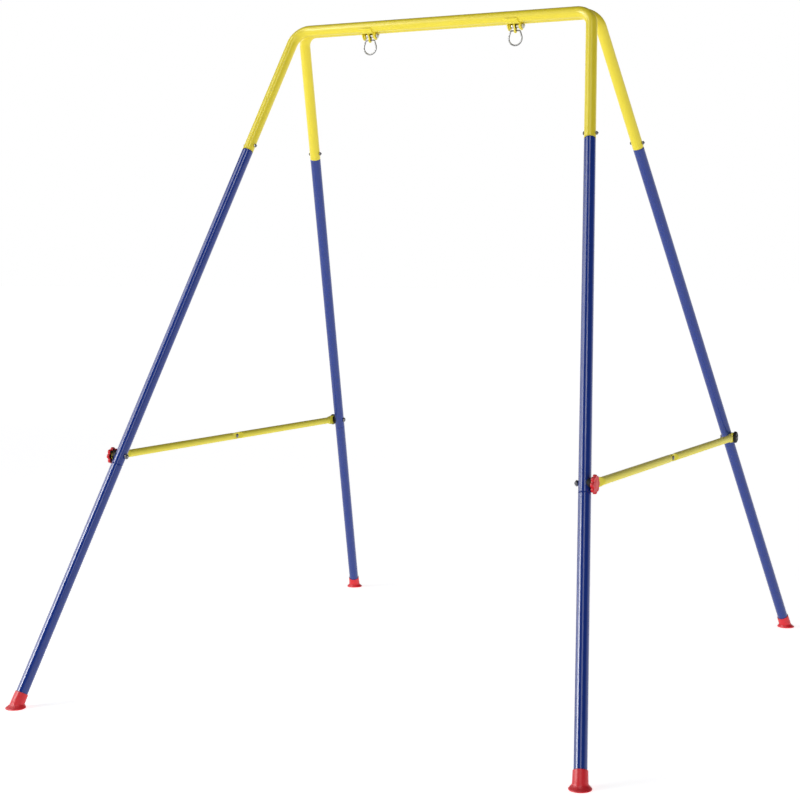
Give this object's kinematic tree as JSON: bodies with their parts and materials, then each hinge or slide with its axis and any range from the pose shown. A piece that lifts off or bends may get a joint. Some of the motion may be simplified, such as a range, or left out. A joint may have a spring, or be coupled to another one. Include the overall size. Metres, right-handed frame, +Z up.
{
  "type": "indoor swing frame",
  "caption": "Folding A-shaped swing frame of bent steel tube with splayed legs, rubber feet, side braces held by star knobs and rings for a swing seat.",
  "frame": {"origin": "on the floor, midway between the four feet", "axes": "+X along the top bar to the right, +Y to the rear, +Z up"},
  "size_m": [1.1614, 1.4024, 1.3312],
  "materials": {
    "yellow_coat": "gloss powder coat",
    "blue_coat": "gloss powder coat",
    "red_rubber": "satin",
    "red_plastic": "gloss",
    "black_plastic": "matte",
    "zinc_steel": "zinc plate"
  },
  "bodies": {
    "front_frame": {"front_top_tube": "yellow_coat", "front_left_upper_leg": "blue_coat", "front_right_upper_leg": "blue_coat", "front_left_lower_leg": "blue_coat", "front_right_lower_leg": "blue_coat", "front_left_foot": "red_rubber", "front_right_foot": "red_rubber", "left_front_hinge_bracket": "yellow_coat", "right_front_hinge_bracket": "yellow_coat", "hinge_bolts": "zinc_steel", "hinge_nuts": "zinc_steel", "hinge_bushes": "zinc_steel", "front_joint_bolts": "zinc_steel", "front_joint_nuts": "zinc_steel", "stud_nuts": "zinc_steel", "front_brace_saddles": "black_plastic"},
    "rear_frame": {"rear_top_tube": "yellow_coat", "rear_left_upper_leg": "blue_coat", "rear_right_upper_leg": "blue_coat", "rear_left_lower_leg": "blue_coat", "rear_right_lower_leg": "blue_coat", "rear_left_foot": "red_rubber", "rear_right_foot": "red_rubber", "left_rear_hinge_bracket": "yellow_coat", "right_rear_hinge_bracket": "yellow_coat", "rear_joint_bolts": "zinc_steel", "rear_joint_nuts": "zinc_steel", "brace_pivot_bolts": "zinc_steel", "brace_pivot_nuts": "zinc_steel", "rear_brace_saddles": "black_plastic", "brace_pivot_caps": "black_plastic"},
    "left_brace_rear": {"left_brace_rear_tube": "yellow_coat", "left_brace_rivet": "zinc_steel"},
    "left_brace_front": {"left_brace_front_tube": "yellow_coat"},
    "left_knob_carrier": {"left_knob_washer": "zinc_steel"},
    "left_knob": {"left_knob": "red_plastic", "left_knob_stud": "zinc_steel"},
    "left_ring": {"left_ring": "zinc_steel"},
    "right_brace_rear": {"right_brace_rear_tube": "yellow_coat", "right_brace_rivet": "zinc_steel"},
    "right_brace_front": {"right_brace_front_tube": "yellow_coat"},
    "right_knob_carrier": {"right_knob_washer": "zinc_steel"},
    "right_knob": {"right_knob": "red_plastic", "right_knob_stud": "zinc_steel"},
    "right_ring": {"right_ring": "zinc_steel"}
  },
  "joints": [
    {"name": "frame_fold", "type": "hinge", "parent": "front_frame", "child": "rear_frame", "pos_m": [0, 0, 1.3035], "axis": [-1, 0, 0], "range_deg": [0, 53]},
    {"name": "left_brace_swing", "type": "hinge", "parent": "rear_frame", "child": "left_brace_rear", "pos_m": [-0.49491, 0.45087, 0.45672], "axis": [-1, 0, 0], "range_deg": [0, 63.1]},
    {"name": "left_brace_fold", "type": "hinge", "parent": "left_brace_rear", "child": "left_brace_front", "pos_m": [-0.49491, 0, 0.45672], "axis": [-1, 0, 0], "range_deg": [0, 110]},
    {"name": "left_knob_travel", "type": "slide", "parent": "front_frame", "child": "left_knob_carrier", "axis": [-1, 0, 0], "range_m": [0, 0.00301]},
    {"name": "left_knob_turn", "type": "hinge", "parent": "left_knob_carrier", "child": "left_knob", "pos_m": [-0.49491, -0.45087, 0.45672], "axis": [-1, 0, 0], "range_deg": [0, 1080]},
    {"name": "left_ring_swing", "type": "hinge", "parent": "front_frame", "child": "left_ring", "pos_m": [-0.1625, 0, 1.295], "axis": [1, 0, 0], "range_deg": [-60, 60]},
    {"name": "right_brace_swing", "type": "hinge", "parent": "rear_frame", "child": "right_brace_rear", "pos_m": [0.49491, 0.45087, 0.45672], "axis": [-1, 0, 0], "range_deg": [0, 63.1]},
    {"name": "right_brace_fold", "type": "hinge", "parent": "right_brace_rear", "child": "right_brace_front", "pos_m": [0.49491, 0, 0.45672], "axis": [-1, 0, 0], "range_deg": [0, 110]},
    {"name": "right_knob_travel", "type": "slide", "parent": "front_frame", "child": "right_knob_carrier", "axis": [1, 0, 0], "range_m": [0, 0.00301]},
    {"name": "right_knob_turn", "type": "hinge", "parent": "right_knob_carrier", "child": "right_knob", "pos_m": [0.49491, -0.45087, 0.45672], "axis": [1, 0, 0], "range_deg": [0, 1080]},
    {"name": "right_ring_swing", "type": "hinge", "parent": "front_frame", "child": "right_ring", "pos_m": [0.1625, 0, 1.295], "axis": [1, 0, 0], "range_deg": [-60, 60]}
  ],
  "couplings": [
    {"joint": "left_brace_swing", "follows": "frame_fold", "ratio": 1.1887},
    {"joint": "left_knob_travel", "follows": "left_knob_turn", "m_per_rad": 0.00015915},
    {"joint": "right_brace_swing", "follows": "frame_fold", "ratio": 1.1887},
    {"joint": "right_knob_travel", "follows": "right_knob_turn", "m_per_rad": 0.00015915}
  ]
}
